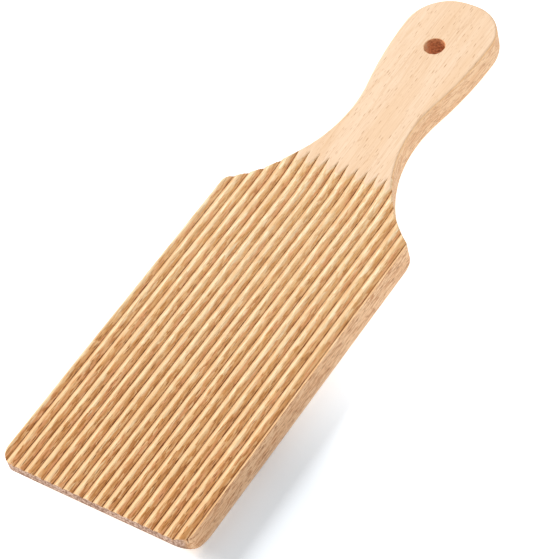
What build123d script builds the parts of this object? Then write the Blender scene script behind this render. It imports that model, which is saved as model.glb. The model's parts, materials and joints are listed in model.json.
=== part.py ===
from build123d import *

import os
from math import acos, degrees, sqrt

# A gnocchi board: one piece of beech, with a ridged blade and a handle to hold and hang it by.
# It lies on its back. X runs across the blade, Y along the board from the free end of the
# blade to the end of the handle, and Z up out of the ridged face. Lengths are in millimetres.

# The whole board
board_length = 205.0
board_thickness = 10.0

# The blade in plan
blade_width = 65.0
free_corner_radius = 5.0
shoulder_corner_radius = 3.0

# The handle in plan
neck_width = 22.3
neck_from_handle_end = 51.6
neck_radius = 47.0
bulb_width = 30.5
bulb_corner_radius = 13.7
bulb_end_radius = 40.0

# The hanging hole, drilled a little to the left of the handle's centre line
hole_diameter = 6.5
hole_offset = 0.9
hole_from_handle_end = 20.4
hole_edge_break = 0.2

# The eased edges: the handle's back is rounded well over, for the hand
face_edge_radius = 0.8
blade_back_edge_radius = 0.8
handle_back_edge_radius = 3.5

# The free end, which is rounded up from below to a thin nose
nose_radius = 12.0
nose_thickness = 3.9

# The ridged face, the board's most skilled work. A stack of disc cutters sinks the blade below
# the handle's face, leaves the ridges standing, and is lifted out of the wood near the neck.
# The stack stands a little to the right of the blade's middle.
groove_count = 19
groove_offset = 0.7
ridge_height = 0.85
crest_drop = 0.1
face_recess = 1.0
cutter_radius = 75.0
groove_tips_before_neck = 20.6

# How far a cutting shape runs past what it cuts
overrun = 2.0

# Where the neck is narrowest, and where its arcs run out into the shoulders of the blade
neck_y = board_length - neck_from_handle_end
neck_centre_x = neck_width / 2 + neck_radius
shoulder_y = neck_y - sqrt(neck_radius**2 - (neck_centre_x - blade_width / 2) ** 2)

# The height of the blade's face before it is ridged
blade_face_z = board_thickness - face_recess

# The ridges' pitch, and the heights of their crests and of the grooves between them
groove_pitch = blade_width / groove_count
crest_z = blade_face_z - crest_drop
groove_bottom_z = crest_z - ridge_height
groove_depth = board_thickness - groove_bottom_z

# Where the cutters start to rise, and how far they swing, which is twice what clears the face
run_out_length = sqrt(groove_depth * (2 * cutter_radius - groove_depth))
run_out_start = neck_y - groove_tips_before_neck - run_out_length
run_out_swing = 2 * degrees(acos(1 - groove_depth / cutter_radius))


def arc_about(centre, start, end):
    """The shorter arc about a centre from one point to another."""
    outward = ((start + end) / 2 - centre).normalized()
    return ThreePointArc(start, centre + outward * (start - centre).length, end)


def bulb_end_centre():
    """The centre of the flat arc that closes the end of the handle."""
    return Vector(0, board_length - bulb_end_radius)


def bulb_corner_centre(side):
    """The centre of one corner of the bulb, which lies inside the arc of its end and touches it."""
    across = bulb_width / 2 - bulb_corner_radius
    along = sqrt((bulb_end_radius - bulb_corner_radius) ** 2 - across**2)
    return bulb_end_centre() + Vector(side * across, along)


def bulb_corner_end(side):
    """Where one corner of the bulb runs into the arc of its end."""
    outward = (bulb_corner_centre(side) - bulb_end_centre()).normalized()
    return bulb_end_centre() + outward * bulb_end_radius


def side_outline(side):
    """One side of the board, from the free end to the arc of the bulb's end: right 1, left -1."""
    corner = Vector(side * blade_width / 2, 0)
    shoulder = Vector(corner.X, shoulder_y)
    neck_centre = Vector(side * neck_centre_x, neck_y)

    # The bulb's long flank touches the neck's arc, and stands upright where the bulb is widest
    corner_centre = bulb_corner_centre(side)
    widest = corner_centre + Vector(side * bulb_corner_radius, 0)
    swell = (bulb_width - neck_width) / 2
    rise = widest.Y - neck_y
    flank_radius = (swell**2 + rise**2) / (2 * swell) - neck_radius
    flank_centre = widest - Vector(side * flank_radius, 0)
    neck_share = neck_radius / (neck_radius + flank_radius)
    meeting = neck_centre + (flank_centre - neck_centre) * neck_share

    return [
        Line(corner, shoulder),
        arc_about(neck_centre, shoulder, meeting),
        arc_about(flank_centre, meeting, widest),
        arc_about(corner_centre, widest, bulb_corner_end(side)),
    ]


def sharp_shouldered_plan():
    """The board in plan, with the middle of its free end at the origin."""
    free_end = Line((-blade_width / 2, 0), (blade_width / 2, 0))
    handle_end = arc_about(bulb_end_centre(), bulb_corner_end(1), bulb_corner_end(-1))
    plan = make_face(Wire([free_end, *side_outline(1), handle_end, *side_outline(-1)]))
    return fillet(plan.vertices().group_by(Axis.Y)[0], free_corner_radius)


def board_plan():
    """The board in plan with its shoulders rounded as well."""
    plan = sharp_shouldered_plan()
    outermost = [plan.vertices().group_by(Axis.X)[end] for end in (0, -1)]
    shoulders = [corners.sort_by(Axis.Y)[-1] for corners in outermost]
    return fillet(shoulders, shoulder_corner_radius)


def nose_cutter():
    """What is taken off under the free end: all that lies outside a round that meets the back."""
    land_z = blade_face_z - nose_thickness
    reach = sqrt(land_z * (2 * nose_radius - land_z))
    back_end = Vector(0, reach, 0)
    land_end = Vector(0, 0, land_z)
    centre = back_end + Vector(0, 0, nose_radius)
    round_edge = arc_about(centre, back_end, land_end)
    outside = Polyline(
        land_end,
        land_end - Vector(0, overrun, 0),
        Vector(0, -overrun, -overrun),
        back_end - Vector(0, 0, overrun),
        back_end,
    )
    section = make_face(Wire([round_edge, *outside.edges()]))
    return extrude(section, amount=blade_width / 2 + overrun, both=True, dir=(1, 0, 0))


def cutter_path(section):
    """All that a cutter of this section takes off: in from the free end, then up out of the wood."""
    straight_run = Pos(0, -overrun, 0) * extrude(section, amount=run_out_start + overrun, dir=(0, 1, 0))
    spindle = Axis((0, run_out_start, groove_bottom_z + cutter_radius), (1, 0, 0))
    run_out = revolve(Pos(0, run_out_start, 0) * section, spindle, run_out_swing)
    return straight_run + run_out


def facing_section():
    """The section that sinks the blade's face below the handle's."""
    side_x = blade_width / 2 + overrun
    bottom_z = blade_face_z
    top_z = board_thickness + overrun
    corners = [(-side_x, bottom_z), (side_x, bottom_z), (side_x, top_z), (-side_x, top_z)]
    return make_face(Polyline(*[Vector(x, 0, z) for x, z in corners], close=True))


def ridge_section():
    """The section that leaves the ridges standing: round crests, with a sharp groove between two."""
    middle_groove = (groove_count + 1) / 2
    first_x = groove_offset - middle_groove * groove_pitch
    ridges = []
    for index in range(groove_count + 1):
        left = Vector(first_x + index * groove_pitch, 0, groove_bottom_z)
        right = left + Vector(groove_pitch, 0, 0)
        crest = (left + right) / 2 + Vector(0, 0, ridge_height)
        ridges.append(ThreePointArc(left, crest, right))
    start = ridges[0] @ 0
    end = ridges[-1] @ 1
    top_z = board_thickness + overrun
    top = Polyline(end, Vector(end.X, 0, top_z), Vector(start.X, 0, top_z), start)
    return make_face(Wire([*ridges, *top.edges()]))


def rim(faces):
    """The outer edges of faces that join on to one another, without the seams between them."""
    edges = [edge for face in faces for edge in face.edges()]
    return [edge for edge in edges if edges.count(edge) == 1]


def back_and_nose(blank):
    """The two lowest faces: the flat back, and the round under the free end."""
    return blank.faces().sort_by(Axis.Z)[:2]


def ease_back(blank):
    """The blank with its lower rim rounded: the handle's first, then the blade's and the nose's."""
    handle_rim = [edge for edge in rim(back_and_nose(blank)) if edge.center().Y > shoulder_y]
    blank = fillet(handle_rim, handle_back_edge_radius)
    blade_end_y = shoulder_y - handle_back_edge_radius
    blade_rim = [edge for edge in rim(back_and_nose(blank)) if edge.center().Y < blade_end_y]
    return fillet(blade_rim, blade_back_edge_radius)


def ease_face(blank):
    """The blank with its upper rim rounded, along the handle, down the ramp and round the blade."""
    handle_ramp_and_blade = blank.faces().sort_by(Axis.Z)[-3:]
    return fillet(rim(handle_ramp_and_blade), face_edge_radius)


def board_blank():
    """The board before its hole and its ridges, with its edges eased all round."""
    blank = extrude(sharp_shouldered_plan(), amount=board_thickness)
    blank -= nose_cutter()
    blank -= cutter_path(facing_section())
    blank = ease_back(blank)
    # The shoulders are rounded in plan only now, so that the handle's round ends at them
    blank &= extrude(board_plan(), amount=board_thickness)
    return ease_face(blank)


def hanging_hole():
    """The cutter for the hanging hole, flared at both faces to break its edges."""
    middle = Pos(-hole_offset, board_length - hole_from_handle_end, board_thickness / 2)
    bore = Cylinder(hole_diameter / 2, board_thickness + 2 * overrun)
    flare = Cone(hole_diameter / 2, hole_diameter / 2 + hole_edge_break, hole_edge_break)
    face_flare = Pos(0, 0, (board_thickness - hole_edge_break) / 2) * flare
    return middle * (bore + face_flare + mirror(face_flare, Plane.XY))


def board():
    """The finished board, with its origin under the middle of its length."""
    shape = board_blank() - hanging_hole() - cutter_path(ridge_section())
    return Pos(0, -board_length / 2, 0) * shape


os.makedirs("parts", exist_ok=True)
export_step(board(), "parts/board.step")
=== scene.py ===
# %% [markdown]
# # A gnocchi board in beech
#
# The board is one piece of wood: a ridged blade that gnocchi are rolled over, and a waisted
# handle with a hole to hang it by. Its shape comes ready made from the CAD model. This lesson
# dresses it: the uneven edge that a ridge cutter leaves, the grain, flecks and end grain of
# beech, the torn fibres in the grooves, and the light of a small product shot.

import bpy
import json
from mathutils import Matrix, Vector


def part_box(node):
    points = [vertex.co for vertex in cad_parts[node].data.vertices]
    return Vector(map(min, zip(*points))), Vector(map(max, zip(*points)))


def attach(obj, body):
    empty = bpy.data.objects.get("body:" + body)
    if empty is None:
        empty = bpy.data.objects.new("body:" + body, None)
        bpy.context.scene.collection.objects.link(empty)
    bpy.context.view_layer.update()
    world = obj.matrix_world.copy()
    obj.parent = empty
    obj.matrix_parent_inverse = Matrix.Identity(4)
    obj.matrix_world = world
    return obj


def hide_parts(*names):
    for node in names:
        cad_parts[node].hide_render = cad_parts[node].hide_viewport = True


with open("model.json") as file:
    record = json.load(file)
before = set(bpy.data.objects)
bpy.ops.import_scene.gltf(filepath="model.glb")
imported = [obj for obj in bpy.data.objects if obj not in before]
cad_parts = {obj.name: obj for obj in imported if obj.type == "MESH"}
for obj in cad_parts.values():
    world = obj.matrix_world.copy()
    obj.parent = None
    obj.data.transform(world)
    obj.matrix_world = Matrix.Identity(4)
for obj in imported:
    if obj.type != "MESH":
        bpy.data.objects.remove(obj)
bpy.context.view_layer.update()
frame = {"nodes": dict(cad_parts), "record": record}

# %% Tools and units
import json
from math import cos, floor, pi, radians, sin, sqrt

import bmesh
import bpy
from mathutils import Matrix, Vector, noise
from mathutils.bvhtree import BVHTree

MM = 0.001
board = frame["nodes"]["board"]
low, high = [Vector(corner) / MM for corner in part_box("board")]
print("board:", len(board.data.polygons), "triangles, from", low, "to", high, "mm")

# %% [markdown]
# ## The ridged face, cut again with a finer tool
#
# On the real board a stack of round cutters makes all the grooves in one pass and is lifted out
# near the handle. The CAD model has that pass in its exact form. What it leaves out is what the
# wood does: the grooves wander by a hair, the crests are worn, and the edges are never quite
# straight.
#
# A displacement map could fake this, but the edge of the board would stay dead straight. So a
# copy of the CAD mesh is sliced into a fine net, and each point of the net is put back on the
# cutter's path with a little wander of its own. The sizes below are those of the cutter pass,
# in millimetres, measured from the board's own box.

# %% The cutter pass
GROOVES = 19
GROOVE_OFFSET = 0.7
FACE_RECESS = 1.0
CREST_DROP = 0.1
RIDGE_HEIGHT = 0.85
CUTTER_RADIUS = 75.0
TIPS_FROM_HANDLE_END = 72.2
RIM_RADIUS = 0.8

pitch = (high.x - low.x) / GROOVES
blade_z = high.z - FACE_RECESS
crest_z = blade_z - CREST_DROP
groove_z = crest_z - RIDGE_HEIGHT
tips_y = high.y - TIPS_FROM_HANDLE_END
depth = high.z - groove_z
lift_y = tips_y - sqrt(depth * (2 * CUTTER_RADIUS - depth))
print("grooves every", round(pitch, 3), "mm, lifted from y", round(lift_y, 2), "to", round(tips_y, 2))

# %% [markdown]
# ### From one flat face to a net
#
# Slicing the CAD mesh as it comes would cut its long thin triangles into splinters. So the copy
# is merged, the top of the blade is laid flat and joined into one face, and that face slices into
# clean squares. Its heights come back in a later step. The walls are kept as they are in a search
# tree, which will tell how near each point lies to the outline.

# %% A merged copy of the CAD mesh
MERGE_DISTANCE = 0.001
FLAT_ANGLE = radians(0.3)

wood = bmesh.new()
across_layer = wood.verts.layers.float.new("across")
wood.from_mesh(board.data)
bmesh.ops.scale(wood, vec=Vector((1, 1, 1)) / MM, verts=wood.verts)
bmesh.ops.remove_doubles(wood, verts=wood.verts, dist=MERGE_DISTANCE)
bmesh.ops.dissolve_limit(wood, angle_limit=FLAT_ANGLE, verts=wood.verts, edges=wood.edges)
print("merged copy:", len(wood.verts), "points,", len(wood.faces), "faces")

# %% The top of the blade
PAST_TIPS = 1.2
BELOW_GROOVES = 0.1
HAIR = 0.00001

net_end = tips_y + PAST_TIPS
lowest_top = groove_z - BELOW_GROOVES
sideways = Vector((1, 0, 0))
lengthwise = Vector((0, 1, 0))


def slice_at(geometry, axis, places):
    """Cut the geometry across an axis at each place, and return all of it."""
    for place in places:
        cut = bmesh.ops.bisect_plane(
            wood, geom=geometry, dist=HAIR, plane_co=axis * place, plane_no=axis
        )
        geometry = cut["geom"]
    return geometry


slice_at([*wood.verts, *wood.edges, *wood.faces], lengthwise, [net_end])
top = [
    face for face in wood.faces
    if all(point.co.z > lowest_top and point.co.y < net_end + HAIR for point in face.verts)
]
walls = BVHTree.FromBMesh(wood)
print("top of the blade:", len(top), "faces as they come")

# %% [markdown]
# ### A ring inside each large flat face
#
# A rounded edge that meets a large flat face spoils its shading: the tilt of the round is blended
# right across the flat, as a grey gradient. A bevel with hardened normals would cure it, but the
# rounds come ready made here. So the flat back and the flat of the handle each get a narrow ring
# inside their outline. The blend ends at the ring, and the flat stays flat.

# %% Rings
FLAT_RING = 0.25

for level in (low.z, high.z):
    flat = [
        face for face in wood.faces
        if face not in top and all(abs(point.co.z - level) < HAIR for point in face.verts)
    ]
    bmesh.ops.inset_region(wood, faces=flat, thickness=FLAT_RING, use_even_offset=True)
    print("ring inside", len(flat), "flat faces at", round(level, 3), "mm")

# %% [markdown]
# ### Slicing the net
#
# The ridges need many columns across and few rows along, because they hardly change along the
# grain until the cutters lift. Three narrow insets round the outline give the rounded rim the
# extra rows that it needs. A grid laid over the board and cut to its outline would have to be
# joined to the walls again, while slices stay joined to them.

# %% The net
STEPS_PER_RIDGE = 12
ROW = 1.0
TIP_ROW = 0.5
RIM_INSETS = (0.1, 0.2, 0.25)

for point in {point for face in top for point in face.verts}:
    point.co.z = high.z
top = bmesh.ops.dissolve_faces(wood, faces=top, use_verts=True)["region"]
net = list(top)
for inset in RIM_INSETS:
    net += bmesh.ops.inset_region(wood, faces=top, thickness=inset, use_even_offset=True)["faces"]

first_column = GROOVE_OFFSET - GROOVES * pitch
step = pitch / STEPS_PER_RIDGE
columns = [first_column + step * index for index in range(2 * GROOVES * STEPS_PER_RIDGE)]
columns = [x for x in columns if low.x < x < high.x]
rows = [low.y + ROW * index for index in range(1, int((lift_y - low.y) / ROW) + 1)]
rows += [rows[-1] + TIP_ROW * index for index in range(1, int((net_end - rows[-1]) / TIP_ROW))]

net_edges = {edge for face in net for edge in face.edges}
net_corners = {point for face in net for point in face.verts}
geometry = slice_at([*net_corners, *net_edges, *net], sideways, columns)
slice_at(geometry, lengthwise, rows)
net_points = [
    point for point in wood.verts if point.co.z > high.z - HAIR and point.co.y < net_end + HAIR
]
print("net:", len(net_points), "points,", len(wood.faces), "faces in all")

# %% [markdown]
# ### Back on the cutter's path
#
# Each point of the net now gets its height: the ridge profile where it stands, raised by the
# lift of the cutters, never above the handle's face, and rounded down towards the outline. The
# crests are broad and round on the blade, and grow fuller still up the ramp, where the sanding
# of the handle reaches them and only a thin groove is left.

# %% The profile of the ridges
SHARPNESS_FREE_END = 1.3
SHARPNESS_RAMP = 1.6
SHARPNESS_TIPS = 3.2


def lift(y):
    """How far the cutters have risen out of the wood."""
    along_ramp = max(y - lift_y, 0)
    return CUTTER_RADIUS - sqrt(CUTTER_RADIUS**2 - along_ramp**2)


def ridge_height(x, y):
    """The cutter's profile across the ridges, from 0 in a groove to 1 on a crest."""
    place = (x - GROOVE_OFFSET) / pitch
    fall_share = abs(2 * (place - floor(place)) - 1)
    blade_share = min((y - low.y) / (lift_y - low.y), 1)
    ramp_share = min(max((y - lift_y) / (tips_y - lift_y), 0), 1)
    sharpness = SHARPNESS_FREE_END + (SHARPNESS_RAMP - SHARPNESS_FREE_END) * blade_share
    sharpness += (SHARPNESS_TIPS - SHARPNESS_RAMP) * ramp_share**2
    return 1 - fall_share**sharpness


def eased_lower(first, second, ease):
    """The lower of two heights, with the corner between them rounded."""
    share = max(ease - abs(first - second), 0) / ease
    return min(first, second) - share**2 * ease / 4


print("profile a quarter of the way up a ridge:", round(ridge_height(GROOVE_OFFSET + pitch / 4, 0), 3))

# %% [markdown]
# ### Wander and wear
#
# Smooth noise moves the points aside and down a little, so that edges wander as they do in wood.
# Plain random numbers would give each point a jump of its own, like sandpaper. The noise is drawn
# out along the grain: each wave below is given as its length across, its length along, and a
# seed. Each point also keeps the place across the board that it had before it wandered, so the
# finish can find the grooves again.

# %% Heights, wander and wear
RAMP_EASE = 0.2
WANDER = 0.16
LONG_WAVE = (3.4, 16.0, 1.0)
SHORT_WAVE = (1.7, 4.0, 5.0)
SHORT_WAVE_SHARE = 0.7
WEAR = 0.06
DENTS = ((0.9, 7.0, 3.0), (0.5, 2.0, 9.0))
CALM_RIM = 2.0
UNDER_RIM = 0.3


def wave(x, y, across_size, along_size, seed):
    """Smooth noise that is drawn out along the grain."""
    return noise.noise(Vector((x / across_size, y / along_size, seed)))


for point in wood.verts:
    point[across_layer] = point.co.x

for point in net_points:
    x, y = point.co.xy
    from_wall = walls.find_nearest(Vector((x, y, groove_z - UNDER_RIM)))[3]
    wear = WEAR * sum(max(wave(x, y, *dent), 0) for dent in DENTS)
    z = groove_z + lift(y) + RIDGE_HEIGHT * ridge_height(x, y)
    z = eased_lower(high.z, z - wear, RAMP_EASE)
    if from_wall < RIM_RADIUS:
        face_z = eased_lower(high.z, blade_z + lift(y), RAMP_EASE)
        z = min(z, face_z - RIM_RADIUS + sqrt(RIM_RADIUS**2 - (RIM_RADIUS - from_wall) ** 2))
    point.co.z = z
    calm = min(from_wall / CALM_RIM, 1) * min(max(net_end - y, 0) / CALM_RIM, 1)
    aside = wave(x, y, *LONG_WAVE) + SHORT_WAVE_SHARE * wave(x, y, *SHORT_WAVE)
    point.co.x += calm * WANDER * aside
print("lowest net point", round(min(point.co.z for point in net_points), 3), "mm")

# %% [markdown]
# ### The rim of the hanging hole
#
# A drill tears the grain where it enters, so the rim of the hole is a little ragged. A rough
# bump map would leave its outline a perfect circle. So its edge loop is divided, and each point
# is moved in or out by noise along the loop. The noise is read on a circle, and so it meets
# itself after a full turn.

# %% A ragged rim
RIM_TEAR = 0.22
LONG_TEAR = (2.2, 4.0)
SHORT_TEAR = (6.0, 8.0)
SHORT_TEAR_SHARE = 0.5
FLARE_REACH = 0.5

[hole] = [mount for mount in frame["record"]["mounts"] if mount["name"] == "hanging_hole"]
hole_centre = Vector(hole["pos_m"]) / MM
hole_radius = hole["dims"]["r_mm"]


def in_flare(point):
    """Whether a point belongs to the hole's flare at the upper face."""
    from_bore = (point.co - hole_centre).xy.length - hole_radius
    return abs(from_bore) < FLARE_REACH and point.co.z > high.z - FLARE_REACH


def tear(outward, size, seed):
    """Smooth noise in one direction from the hole's middle."""
    return noise.noise(Vector((size * outward.x, size * outward.y, seed)))


flare_edges = [edge for edge in wood.edges if all(in_flare(point) for point in edge.verts)]
bmesh.ops.subdivide_edges(wood, edges=flare_edges, cuts=1)
rim = [point for point in wood.verts if in_flare(point)]
for point in rim:
    outward = point.co - hole_centre
    outward.z = 0
    outward.normalize()
    tear_size = tear(outward, *LONG_TEAR) + SHORT_TEAR_SHARE * tear(outward, *SHORT_TEAR)
    point.co += outward * RIM_TEAR * tear_size
print("hole: radius", hole_radius, "mm at", hole_centre, "with", len(rim), "points on its rim")

# %% [markdown]
# ### The dressed piece
#
# The net was worked in millimetres, which are easy to read, and the scene is in metres, so it is
# scaled back. Smooth shading hides the net's small facets, and edges that turn by more than the
# angle below stay crisp, as cut wood does. The piece then rides on the board's body and stands
# for the plain CAD node, which is no longer shown.

# %% Back to metres, as a piece that stands for the CAD node
CRISP_ANGLE = radians(35)

bmesh.ops.scale(wood, vec=Vector((MM, MM, MM)), verts=wood.verts)
wood_mesh = bpy.data.meshes.new("gnocchi_board")
wood.to_mesh(wood_mesh)
wood.free()
for face in wood_mesh.polygons:
    face.use_smooth = True
wood_mesh.set_sharp_from_angle(angle=CRISP_ANGLE)
piece = bpy.data.objects.new("gnocchi_board", wood_mesh)
bpy.context.scene.collection.objects.link(piece)
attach(piece, "root")
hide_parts("board")
print("piece:", len(wood_mesh.vertices), "points,", len(wood_mesh.polygons), "faces")

# %% [markdown]
# ## Shader maths in plain Python
#
# A wood finish is mostly arithmetic on coordinates. Wiring dozens of Math nodes by hand is hard
# to read, so a small class wraps a node's output and lets Python's own signs add the nodes.
# Every other node comes from one method of the finish, `add`, which sets the node's own options
# first and then its sockets.

# %% A socket that can be added, multiplied and compared
class Flow:
    """One output of a shader node, ready for arithmetic."""

    def __init__(self, finish, socket):
        self.finish = finish
        self.socket = socket

    def maths(self, operation, *values):
        return self.finish.add("Math", {"operation": operation}, *values)

    def __add__(self, other):
        return self.maths("ADD", self, other)

    def __radd__(self, other):
        return self.maths("ADD", other, self)

    def __sub__(self, other):
        return self.maths("SUBTRACT", self, other)

    def __rsub__(self, other):
        return self.maths("SUBTRACT", other, self)

    def __mul__(self, other):
        return self.maths("MULTIPLY", self, other)

    def __rmul__(self, other):
        return self.maths("MULTIPLY", other, self)

    def __truediv__(self, other):
        return self.maths("DIVIDE", self, other)

    def __pow__(self, other):
        return self.maths("POWER", self, other)

    def part(self):
        """What is left over from a whole number."""
        return self.maths("FRACT", self)

    def size(self):
        """The value without its sign."""
        return self.maths("ABSOLUTE", self)

    def lower(self, other):
        return self.maths("MINIMUM", self, other)

    def higher(self, other):
        return self.maths("MAXIMUM", self, other)

    def above(self, start, end):
        """0 up to start, 1 past end, and a smooth rise between them."""
        options = {"interpolation_type": "SMOOTHSTEP"}
        return self.finish.add("MapRange", options, self, start, end, 0, 1)

    def other(self, output):
        """Another output of the same node."""
        return Flow(self.finish, self.socket.node.outputs[output])


# %% A finish, and the one method that adds its nodes
class Finish:
    """A material whose nodes are added one call at a time."""

    def __init__(self, name):
        self.material = bpy.data.materials.new(name)
        self.material.use_nodes = True
        self.nodes = self.material.node_tree.nodes
        self.links = self.material.node_tree.links
        self.surface = self.nodes["Principled BSDF"]

    def set(self, node, socket, value):
        if isinstance(value, Flow):
            self.links.new(value.socket, node.inputs[socket])
        else:
            node.inputs[socket].default_value = value

    def add(self, kind, options=None, *values, output=0, **named):
        node = self.nodes.new("ShaderNode" + kind)
        for option, value in (options or {}).items():
            setattr(node, option, value)
        for place, value in enumerate(values):
            self.set(node, place, value)
        for socket, value in named.items():
            self.set(node, socket.replace("_", " "), value)
        return Flow(self, node.outputs[output])

    def mix(self, share, first, second):
        """One colour over another, as much as share says."""
        node = self.nodes.new("ShaderNodeMix")
        node.data_type = "RGBA"
        factor, below, over, result = 0, 6, 7, 2
        self.set(node, factor, share)
        self.set(node, below, first)
        self.set(node, over, second)
        return Flow(self, node.outputs[result])

    def layers(self, base, *coats):
        """A colour with coats laid over it in turn, each given as its share and its colour."""
        for share, coat in coats:
            base = self.mix(share, base, coat)
        return base

    def split(self, vector):
        """The three numbers of a vector or colour."""
        parts = self.add("SeparateXYZ", None, vector)
        return [parts.other(index) for index in range(3)]


# %% [markdown]
# ## Beech
#
# Beech is pale and even, slightly pink, and easy to tell by its flecks: short brown dashes, the
# ends of its rays, that all lie along the grain. Under them run faint year rings and fine pores.
#
# The pattern could be wrapped round the board with a UV map, but wood is solid: a fleck that
# reaches an edge goes on round the corner. So everything is worked out from the place inside the
# block, in millimetres, with Y along the grain, and the same cells show as dashes on the face and
# as dots in the end grain.

# %% The place in the block of wood
def to_light(share):
    """The light that a screen gives for a share of its brightest value, by the sRGB curve."""
    return share / 12.92 if share <= 0.04045 else ((share + 0.055) / 1.055) ** 2.4


def paint(red, green, blue):
    """A colour given as the 0-255 values of a paint chart, turned into light."""
    return (*[to_light(channel / 255) for channel in (red, green, blue)], 1.0)


beech = Finish("beech")
coordinates = beech.add("TexCoord", output="Object")
across, along, up = [flow * (1 / MM) for flow in beech.split(coordinates)]
facing_end, facing_up = beech.split(coordinates.other("Normal"))[1:]
print("beech:", len(beech.nodes), "nodes to find a place in the block")

# %% [markdown]
# ### Noise, dashes and strands
#
# Three patterns make all of the wood. Grain is soft noise drawn out along the board. Dashes are
# long cells with a dark middle, for flecks and tears. Strands are the same cells, each filled with
# one shade, for bundles of fibres with crisp sides. Noise alone looks blurred up close, and
# painted flecks would repeat, while the cells are sharp and never repeat.
#
# Sizes are in millimetres, across the grain and then along it. Every pattern runs from 0 to 1, and
# `above` turns it into a mask with soft edges. In the recipes further down, the number beside a
# mask says how strongly its colour is laid on.

# %% Patterns along the grain
GRAIN_ROUGHNESS = 0.6
DASH_CORE = 0.5
KEPT_FADE = 0.3
HALF_EDGE = (0.35, 0.65)
THIRD_EDGE = (0.45, 0.65)


def place_in(across_size, along_size, seed):
    """The place in the block, counted in steps of the given sizes."""
    depth_step = up / across_size + seed
    return beech.add("CombineXYZ", None, across / across_size, along / along_size, depth_step)


def grain(across_size, along_size, seed, detail=2.0):
    """Noise drawn out along the grain, from 0 to 1."""
    where = place_in(across_size, along_size, seed)
    options = {"Scale": 1.0, "Detail": detail, "Roughness": GRAIN_ROUGHNESS}
    return beech.add("TexNoise", None, Vector=where, **options)


def cells(across_size, along_size, seed):
    """Long cells along the grain: how far off the middle of each is, and a number of its own."""
    where = place_in(across_size, along_size, seed)
    off_middle = beech.add("TexVoronoi", None, Vector=where, Scale=1.0)
    return off_middle, beech.split(off_middle.other("Color"))[0]


def dashes(across_size, along_size, seed, share, keep):
    """A dash in each cell, as wide as its share of it, with some left out."""
    off_middle, number = cells(across_size, along_size, seed)
    kept = number.above(1 - keep, 1 + KEPT_FADE - keep)
    return (1 - off_middle.above(share * DASH_CORE, share)) * kept


def strands(across_size, along_size, seed):
    """Bundles of fibres, each as dark as the number of its cell."""
    return cells(across_size, along_size, seed)[1]


def half_of(field):
    """Soft-edged patches that cover about half of the wood."""
    return field.above(*HALF_EDGE)


def third_of(field):
    """Soft-edged patches that cover about a third of the wood."""
    return field.above(*THIRD_EDGE)


# %% [markdown]
# ### The planed faces
#
# The handle is planed and sanded, so it shows the wood at its cleanest: cream, with a slow change
# of tone, thin darker threads, the lines of a few year rings, and the flecks. A photograph of
# beech would bring all of it at once, but at one size and with its own light in it. Here each
# part is a layer of its own, laid over the last as much as its share says, and can be tuned alone.

# %% The planed faces
CREAM = paint(242, 213, 183)
DEEP_CREAM = paint(238, 205, 171)
FIBRE_TAN = paint(224, 188, 152)
THREAD_TAN = paint(220, 180, 142)
RING_TAN = paint(220, 180, 138)
FINE_FLECK_BROWN = paint(202, 158, 118)
FLECK_BROWN = paint(184, 138, 98)
RING_WIDTH = 2.6
RING_WANDER = 9
RING_TILT = 0.35
RING_EDGE = (0.36, 0.5)
RING_GAPS = (0.35, 0.6)
FIBRE_EDGE = (0.35, 0.7)
THREAD_EDGE = (0.5, 0.66)

fibres = grain(0.22, 5.0, seed=0.0, detail=4.0)
threads = grain(0.3, 16.0, seed=7.0, detail=3.0)
cloud = grain(6.0, 40.0, seed=11.0)
ring_place = across + up * RING_TILT + (grain(9.0, 60.0, seed=23.0) - 0.5) * RING_WANDER
from_ring_middle = ((ring_place / RING_WIDTH).part() - 0.5).size()
ring_line = from_ring_middle.above(*RING_EDGE) * grain(1.2, 12.0, seed=29.0).above(*RING_GAPS)
flecks = dashes(0.75, 5.5, seed=0.0, share=0.21, keep=0.9)
fine_flecks = dashes(0.45, 3.2, seed=31.0, share=0.25, keep=0.9)
planed = beech.layers(
    CREAM,
    (half_of(cloud), DEEP_CREAM),
    (fibres.above(*FIBRE_EDGE) * 0.4, FIBRE_TAN),
    (threads.above(*THREAD_EDGE) * 0.45, THREAD_TAN),
    (ring_line * 0.4, RING_TAN),
    (fine_flecks * 0.55, FINE_FLECK_BROWN),
    (flecks * (0.65 + ring_line * 0.35), FLECK_BROWN),
)
print("planed faces:", len(beech.nodes), "nodes so far")

# %% [markdown]
# ### The edges
#
# Round its edges the board is sawn across its rays, and these show as longer, darker dashes on a
# deeper tone. The blade's edges are handled most and sanded least, so there the dashes are
# strong, and towards the free end the wood is browner. The bottom of each edge is painted paler, as
# painted light thrown up by the floor. The arris, the thin round between a face and an edge, gets a
# painted highlight: on the blade for the light that it catches, and on the handle to lift the shade
# where it turns away from the key light. The faces could be marked by hand, but the finish tells
# them all by how far the surface faces up or down: 1 on a face, 0 on an edge, and in between on an
# arris.

# %% The sawn edges
EDGE_CREAM = paint(238, 200, 160)
EDGE_TAN = paint(230, 186, 144)
EDGE_LINE_BROWN = paint(184, 130, 90)
HANDLED_BROWN = paint(198, 148, 108)
EDGE_FLECK_BROWN = paint(128, 78, 46)
EDGE_TICK_BROWN = paint(138, 86, 52)
EDGE_BOUNCE_CREAM = paint(240, 206, 172)
USED_AS_FAR_AS = 5.0
BLADE_ENDS = (10.0, 20.0)
BOUNCE_ENDS = (1.0, 2.6)
LINE_TONES = (0.35, 0.95)
FACE_STARTS = (0.62, 0.97)

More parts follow.
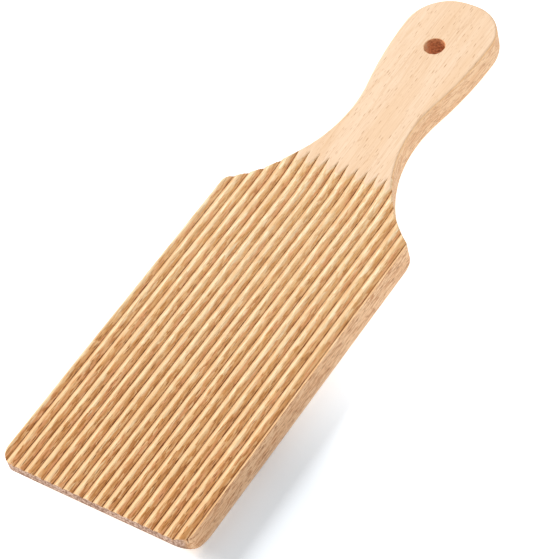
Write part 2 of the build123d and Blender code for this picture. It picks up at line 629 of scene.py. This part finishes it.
used = 1 - along.above(low.y, USED_AS_FAR_AS)
blade_edge = 1 - along.above(*BLADE_ENDS)
# Painted light: the bottom millimetres of each edge are painted paler, for the light that the floor
# throws up onto them.
painted_bounce_at_foot = 1 - up.above(*BOUNCE_ENDS)
edge_flecks = dashes(0.5, 3.6, seed=47.0, share=0.29, keep=1.0)
edge_ticks = dashes(0.34, 2.6, seed=59.0, share=0.3, keep=1.0)
edge_lines = strands(0.42, 3.0, seed=53.0)
edge_cloud = grain(2.0, 20.0, seed=57.0)
sawn = beech.layers(
    EDGE_CREAM,
    (half_of(edge_cloud), EDGE_TAN),
    (edge_lines.above(*LINE_TONES) * (0.5 + blade_edge * 0.35), EDGE_LINE_BROWN),
    (used * 0.3, HANDLED_BROWN),
    (edge_flecks * (0.45 + blade_edge * 0.45), EDGE_FLECK_BROWN),
    (edge_ticks * (0.3 + blade_edge * 0.4), EDGE_TICK_BROWN),
    (painted_bounce_at_foot * 0.4, EDGE_BOUNCE_CREAM),
)
on_edge = 1 - facing_up.size().above(*FACE_STARTS)
print("sawn edges:", len(beech.nodes), "nodes so far")

# %% The arris, where a face turns into an edge, with a painted highlight
BLADE_ARRIS_HIGHLIGHT = paint(250, 226, 194)
HANDLE_ARRIS_HIGHLIGHT = paint(255, 204, 148)
ARRIS_STARTS = (0.2, 0.4)
ARRIS_ENDS = (0.7, 0.95)

on_arris = facing_up.above(*ARRIS_STARTS) * (1 - facing_up.above(*ARRIS_ENDS))
# Painted highlight: the arris is painted paler, for the light that it catches on the blade and to lift
# its shade on the handle.
arris_highlight_share = 0.45 + blade_edge * 0.15
arris_highlight = beech.mix(blade_edge, HANDLE_ARRIS_HIGHLIGHT, BLADE_ARRIS_HIGHLIGHT)
print("arris:", len(beech.nodes), "nodes so far")

# %% [markdown]
# ### The end grain
#
# At the free end the fibres are cut through, and their open ends drink in dirt: greyish brown
# with dark pores as wide as they are high. A darker line where the end turns under is painted
# shade, for the underside that faces away from the light. The same noise serves, with equal sizes
# both ways.

# %% The end grain
END_GREY = paint(206, 172, 150)
PORE_BROWN = paint(140, 102, 80)
TURN_SHADE_BROWN = paint(126, 86, 60)
PORE_EDGE = (0.38, 0.62)
TURN_ENDS = (5.2, 6.0)
END_STARTS = (0.6, 0.9)

pores = grain(0.7, 0.7, seed=61.0, detail=3.0)
# Painted shade: a darker band at the bottom of the end, where it turns under.
painted_turn_shade = 1 - up.above(*TURN_ENDS)
end_wood = beech.layers(
    END_GREY,
    (pores.above(*PORE_EDGE), PORE_BROWN),
    (painted_turn_shade * 0.7, TURN_SHADE_BROWN),
)
at_end = (facing_end * -1).above(*END_STARTS)
print("end grain:", len(beech.nodes), "nodes so far")

# %% [markdown]
# ### In the grooves
#
# The cutters turn one way, so one flank of each ridge is sliced clean and stays cream, and the
# other is torn and looks darker and more orange. The torn flank faces away from the key light, and
# its darker colour is partly the torn fibres and partly painted shade, for the shadow of the next
# ridge and the light bounced between ridges. The foot of the clean flank is painted browner as the
# shade of the groove, and the line at the bottom of each groove is burnished brown and darkened with
# painted shade. Painting this by hand would take a line for each flank. The mesh carries an
# attribute, `across`, with the place of each point before it wandered, so a few sums on it colour
# every flank, and the colours follow the same wandering ridges as the shape.
#
# A turn runs from 0 to 1 across each ridge, from one groove to the next. The flanks meet at about
# half a turn, and the border strays with the bundles of fibres, with ragged noise, and by a
# chance of its own on each ridge.

# %% Where the flanks meet
BUNDLE_STRAY = 0.22
RAGGED_STRAY = 0.35
RIDGE_STRAY = 0.1
BELOW_FACE = (0.05, 0.6)

carried = beech.add("Attribute", {"attribute_name": "across"}, output="Fac")
turn = ((carried - GROOVE_OFFSET) / pitch).part()
jagged = grain(0.28, 1.8, seed=71.0, detail=3.0) - 0.5
ragged = grain(1.0, 9.0, seed=79.0) - 0.5
bundles = strands(0.4, 4.0, seed=71.0) - 0.5
ridge_number = (carried - GROOVE_OFFSET) / pitch - turn
chance = beech.add("TexWhiteNoise", {"noise_dimensions": "1D"}, W=ridge_number) - 0.5
below = high.z - up

uneven = turn + bundles * BUNDLE_STRAY + ragged * RAGGED_STRAY + chance * RIDGE_STRAY
torn_from = 0.5 - used * 0.02
torn_fully = 0.8 - used * 0.18
# The torn flank faces away from the key light: it is torn fibres and painted shade.
torn_and_shaded = uneven.above(torn_from, torn_fully) * below.above(*BELOW_FACE)
print("where the flanks meet:", len(beech.nodes), "nodes so far")

# %% The painted shade at the foot of the clean flank, the groove's line, and where the ridges end
SHADE_BUNDLE_STRAY = 0.12
SHADE_RAGGED_STRAY = 0.15
SHADE_FROM = 0.06
LINE_STRAY = 0.3
LINE_EDGE = (0.04, 0.3)
RIDGES_START_BELOW = (0.02, 0.2)
RIDGES_FACE_UP = (0.2, 0.45)
FADE_BEFORE_TIPS = 0.2
FADE_PAST_TIPS = 0.5

# Painted shade: the foot of the clean flank, next to the groove, is painted browner as the shade of
# the groove.
shade_turn = turn + bundles * SHADE_BUNDLE_STRAY + ragged * SHADE_RAGGED_STRAY
shade_ends = 0.38 - used * 0.04
flank_foot_shade = 1 - shade_turn.above(SHADE_FROM, shade_ends)
from_line = turn.lower(1 - turn) * pitch
# The line along each groove: partly burnished wood and partly painted shade.
groove_burnish_and_shade = 1 - (from_line + jagged * LINE_STRAY).above(*LINE_EDGE)
before_tips = 1 - along.above(tips_y - FADE_BEFORE_TIPS, tips_y + FADE_PAST_TIPS)
ridged = below.above(*RIDGES_START_BELOW) * before_tips * facing_up.above(*RIDGES_FACE_UP)
print("grooves:", len(beech.nodes), "nodes so far")

# %% The clean flank
CREST_CREAM = paint(250, 228, 192)
WORN_CREST = paint(242, 210, 166)
CLEAN_FIBRE = paint(224, 188, 142)
DULL_TAN = paint(218, 174, 124)
SPLIT_BROWN = paint(190, 138, 84)
FOOT_SHADE_BROWN = paint(196, 138, 82)

fuzz = strands(0.34, 2.6, seed=89.0)
dull = grain(1.6, 14.0, seed=93.0)
splits = dashes(0.4, 6.0, seed=107.0, share=0.26, keep=1.0)
clean_flank = beech.layers(
    CREST_CREAM,
    (used, WORN_CREST),
    (fuzz, CLEAN_FIBRE),
    (third_of(dull) * 0.5, DULL_TAN),
    (splits * 0.6, SPLIT_BROWN),
    (flank_foot_shade * 0.6, FOOT_SHADE_BROWN),
)
print("clean flank:", len(beech.nodes), "nodes so far")

# %% The torn flank, with painted shade
TORN_SHADE_ORANGE = paint(244, 198, 142)
DEEP_ORANGE = paint(230, 174, 112)
WORN_ORANGE = paint(208, 144, 84)
PINK_ORANGE = paint(236, 164, 122)
TORN_FIBRE = paint(176, 114, 58)
PALE_FIBRE = paint(252, 216, 164)
TEAR_BROWN = paint(112, 62, 22)
TORN_TONES = (0.45, 1.0)
PALE_TONES = (0.0, 0.3)

patches = grain(0.7, 6.0, seed=83.0)
warm = grain(0.9, 9.0, seed=97.0)
tears = dashes(0.42, 5.0, seed=103.0, share=0.28, keep=1.0)
# Painted shade: the torn flank is darker and more orange than the clean one, partly torn fibres and
# partly the shade of the next ridge.
torn_shaded_flank = beech.layers(
    TORN_SHADE_ORANGE,
    (half_of(patches), DEEP_ORANGE),
    (used * 0.7, WORN_ORANGE),
    (third_of(warm) * 0.5, PINK_ORANGE),
    (fuzz.above(*TORN_TONES) * (0.5 + used * 0.3), TORN_FIBRE),
    ((1 - fuzz.above(*PALE_TONES)) * 0.5, PALE_FIBRE),
    (tears * (0.4 + used * 0.6), TEAR_BROWN),
)
print("torn flank:", len(beech.nodes), "nodes so far")

# %% Both flanks, and the line between two ridges, burnished and darkened with painted shade
BURNISH_AND_SHADE_BROWN = paint(108, 58, 24)
SCORCH_EDGE = (0.5, 0.62)

scorched = grain(0.6, 5.0, seed=109.0).above(*SCORCH_EDGE)
# The groove's line is laid on as burnished brown and painted shade together.
ridge_colour = beech.layers(
    clean_flank,
    (torn_and_shaded, torn_shaded_flank),
    (groove_burnish_and_shade * (0.5 + used * 0.35 + scorched * 0.4), BURNISH_AND_SHADE_BROWN),
)
print("ridges:", len(beech.nodes), "nodes so far")

# %% [markdown]
# ### In the hanging hole
#
# The wall of the hole is painted a reddish brown: painted shade for the deep, narrow bore, where
# light bounces between warm wood. One side of it gets a painted highlight, where light reaches in
# over the rim. The wall is found by its distance from the hole's middle, with a little noise added,
# so the brown ends in a ragged line as the rim does.

# %% The hanging hole
BORE_SHADE_ORANGE = paint(228, 162, 116)
BORE_SHADE_BROWN = paint(172, 104, 66)
BORE_HIGHLIGHT_CREAM = paint(250, 214, 170)
BORE_STRAY = 0.4
BORE_EDGE = (0.0, 0.2)
LIT_SIDE_ENDS = (-3.4, -1.4)
HIGHLIGHT_MARKS = (0.35, 0.5)

hole_across = across - hole_centre.x
hole_along = along - hole_centre.y
from_bore = (hole_across * hole_across + hole_along * hole_along) ** 0.5 - hole_radius
bore_mottle = grain(0.8, 1.2, seed=113.0, detail=3.0)
bored = 1 - (from_bore + (bore_mottle - 0.5) * BORE_STRAY).above(*BORE_EDGE)
# Painted highlight: one side of the hole's wall is painted pale, in patches.
lit_side = 1 - (hole_across + hole_along).above(*LIT_SIDE_ENDS)
bore_highlight = lit_side * bore_mottle.above(*HIGHLIGHT_MARKS)
# Painted shade: the wall of the hole is reddish brown, with darker mottled patches.
bore_shade_colour = beech.layers(
    BORE_SHADE_ORANGE,
    (half_of(bore_mottle), BORE_SHADE_BROWN),
    (bore_highlight * 0.8, BORE_HIGHLIGHT_CREAM),
)
print("hole:", len(beech.nodes), "nodes so far")

# %% [markdown]
# ### One finish for the whole board
#
# All the surfaces are laid over one another in one material, because the board is one piece of
# wood. A material for each group of faces would be simpler, but every border would be a hard line
# along the mesh. The relief is kept to a bump, since fibres are far finer than the net: fibres
# stand up and torn flanks are rough, while flecks and tears are sunk. Bare beech has hardly any
# shine, so the reflection is turned down as well.

# %% All of it on the board
RELIEF_STRENGTH = 0.35
RELIEF_HEIGHT = 0.15 * MM
SHINE = 0.15
SANDED_ROUGHNESS = 0.55
FIBRE_ROUGHNESS = 0.2
FIBRE_RELIEF = 0.5
FLECK_RELIEF = 0.4
TEAR_RELIEF = 0.6

colour = beech.layers(
    planed,
    (on_edge, sawn),
    (on_arris * arris_highlight_share, arris_highlight),
    (at_end, end_wood),
    (ridged, ridge_colour),
    (bored, bore_shade_colour),
)
raised = fibres * FIBRE_RELIEF + jagged * ridged * torn_and_shaded
relief = raised - flecks * FLECK_RELIEF - tears * ridged * TEAR_RELIEF
bump = beech.add("Bump", None, Strength=RELIEF_STRENGTH, Distance=RELIEF_HEIGHT, Height=relief)
beech.set(beech.surface, "Base Color", colour)
beech.set(beech.surface, "Roughness", SANDED_ROUGHNESS + fibres * FIBRE_ROUGHNESS)
beech.set(beech.surface, "Specular IOR Level", SHINE)
beech.set(beech.surface, "Normal", bump)
wood_mesh.materials.append(beech.material)
print("beech:", len(beech.nodes), "nodes")

# %% [markdown]
# ## The set
#
# The photograph is a packshot on white: a floor without an edge, a soft shadow at the lower
# right only, and nothing beside the handle. A plain white floor would carry the shadow all
# along the board. Studios lose it with a sheet of opal plastic that is lit from below. This floor
# glows in the same way, under the handle and in front of the free end. It is left dark where the
# shadow falls, to the right of the blade. Each pair of places below says where a change begins and
# where it is complete, in millimetres from the board's middle.

# %% Floor
FLOOR_REACH = 1.5
OPAL_WHITE = (0.86, 0.90, 0.94, 1.0)
GLOW_OFF = (0.02, 0.02, 0.02, 1.0)
GLOW_FULL = (1.0, 1.0, 1.0, 1.0)
OPAL_ROUGHNESS = 0.9

floor_mesh = bpy.data.meshes.new("floor")
sheet = bmesh.new()
bmesh.ops.create_grid(sheet, x_segments=1, y_segments=1, size=FLOOR_REACH)
sheet.to_mesh(floor_mesh)
sheet.free()
opal_sheet = bpy.data.objects.new("floor", floor_mesh)
bpy.context.scene.collection.objects.link(opal_sheet)
print("floor:", 2 * FLOOR_REACH, "m wide")

# %% The glow of the floor
HANDLE_GLOW_ALONG = (-72.0, -8.0)
HANDLE_GLOW_ACROSS = (-30.0, 0.0)
HANDLE_GLOW_LEFT = 0.35
HANDLE_GLOW_RISE = 0.25
SHADOW_ALONG = (-108.0, -96.0)
SHADOW_ACROSS = (26.0, 34.0)
FRONT_GLOW = 0.6
FRONT_GLOW_FADE = (-90.0, -60.0)

opal = Finish("opal")
floor_place = opal.split(opal.add("TexCoord", output="Object"))
floor_across, floor_along = [flow * (1 / MM) for flow in floor_place[:2]]
handle_rise = HANDLE_GLOW_LEFT + floor_across.above(*HANDLE_GLOW_ACROSS) * HANDLE_GLOW_RISE
handle_glow = floor_along.above(*HANDLE_GLOW_ALONG) * handle_rise
off_shadow = 1 - floor_along.above(*SHADOW_ALONG) * floor_across.above(*SHADOW_ACROSS)
front_glow = off_shadow * FRONT_GLOW * (1 - floor_along.above(*FRONT_GLOW_FADE))
glow = opal.mix(handle_glow.higher(front_glow), GLOW_OFF, GLOW_FULL)
opal.set(opal.surface, "Base Color", OPAL_WHITE)
opal.set(opal.surface, "Roughness", OPAL_ROUGHNESS)
opal.set(opal.surface, "Emission Color", glow)
opal.set(opal.surface, "Emission Strength", 1.0)
floor_mesh.materials.append(opal.material)
print("opal:", len(opal.nodes), "nodes")

# %% [markdown]
# ## Light
#
# The ridges are only seen because light rakes across them: the left flank of each is bright and
# the right one dull. So the key light stands low on the left. A bare point lamp would draw hard
# black lines in the grooves, and a softbox draws soft ones. An even sky and a weak fill from the
# right open up the wall of the board. The brightness of each is written as the share of full
# white that it adds to a surface facing it, which makes the three easy to balance.

# %% The sky
SKY = 0.62

world = bpy.data.worlds.new("studio")
world.use_nodes = True
sky = world.node_tree.nodes["Background"].inputs
sky["Color"].default_value = (1, 1, 1, 1)
sky["Strength"].default_value = SKY
bpy.context.scene.world = world
bpy.context.scene.view_settings.view_transform = "Standard"
print("sky:", SKY, "of full white")

# %% Softboxes
KEY = 0.84
KEY_SIZE = 0.9
KEY_AZIMUTH = radians(190)
KEY_ELEVATION = radians(32)
FILL = 0.16
FILL_SIZE = 1.5
FILL_AZIMUTH = radians(-20)
FILL_ELEVATION = radians(60)
LIGHT_DISTANCE = 3.0


def softbox(name, azimuth, elevation, size, share):
    """A round softbox that adds a share of full white to a surface that faces it."""
    toward = Vector((cos(azimuth) * cos(elevation), sin(azimuth) * cos(elevation), sin(elevation)))
    lamp = bpy.data.lights.new(name, "AREA")
    lamp.shape = "DISK"
    lamp.size = size
    lamp.energy = share * pi**2 * LIGHT_DISTANCE**2
    stand = bpy.data.objects.new(name, lamp)
    stand.location = toward * LIGHT_DISTANCE
    stand.rotation_euler = (-toward).to_track_quat("-Z", "Y").to_euler()
    bpy.context.scene.collection.objects.link(stand)
    print(name, "of", round(lamp.energy, 2), "watts at", stand.location)


softbox("key", KEY_AZIMUTH, KEY_ELEVATION, KEY_SIZE, KEY)
softbox("fill", FILL_AZIMUTH, FILL_ELEVATION, FILL_SIZE, FILL)

# %% [markdown]
# ## Camera
#
# A packshot is taken from some way off with a long lens, so the sides of the board stay nearly
# parallel. The camera could be placed by eye. Here its angles, distance and lens come from
# fitting the board's outline to the photograph, so the picture can be laid over it. It looks at
# a target on the board, and rolls about its own axis to set the board aslant.

# %% Camera
CAMERA_TARGET = Vector((4.073, -15.667, 8.823)) * MM
CAMERA_DISTANCE = 715.48 * MM
CAMERA_AZIMUTH = radians(45.813)
CAMERA_ELEVATION = radians(48.616)
CAMERA_ROLL = radians(16.33)
LENS_LENGTH = 161.0
SENSOR = 36

lens = bpy.data.cameras.new("camera")
lens.sensor_fit = "VERTICAL"
lens.sensor_width = SENSOR
lens.sensor_height = SENSOR
lens.lens = LENS_LENGTH
camera = bpy.data.objects.new("camera", lens)
aim = (
    Matrix.Rotation(CAMERA_AZIMUTH, 4, "Z")
    @ Matrix.Rotation(radians(90) - CAMERA_ELEVATION, 4, "X")
    @ Matrix.Rotation(-CAMERA_ROLL, 4, "Z")
)
step_back = Matrix.Translation((0, 0, CAMERA_DISTANCE))
camera.matrix_world = Matrix.Translation(CAMERA_TARGET) @ aim @ step_back
bpy.context.scene.collection.objects.link(camera)
bpy.context.scene.camera = camera
print("camera stands at", camera.matrix_world.translation)
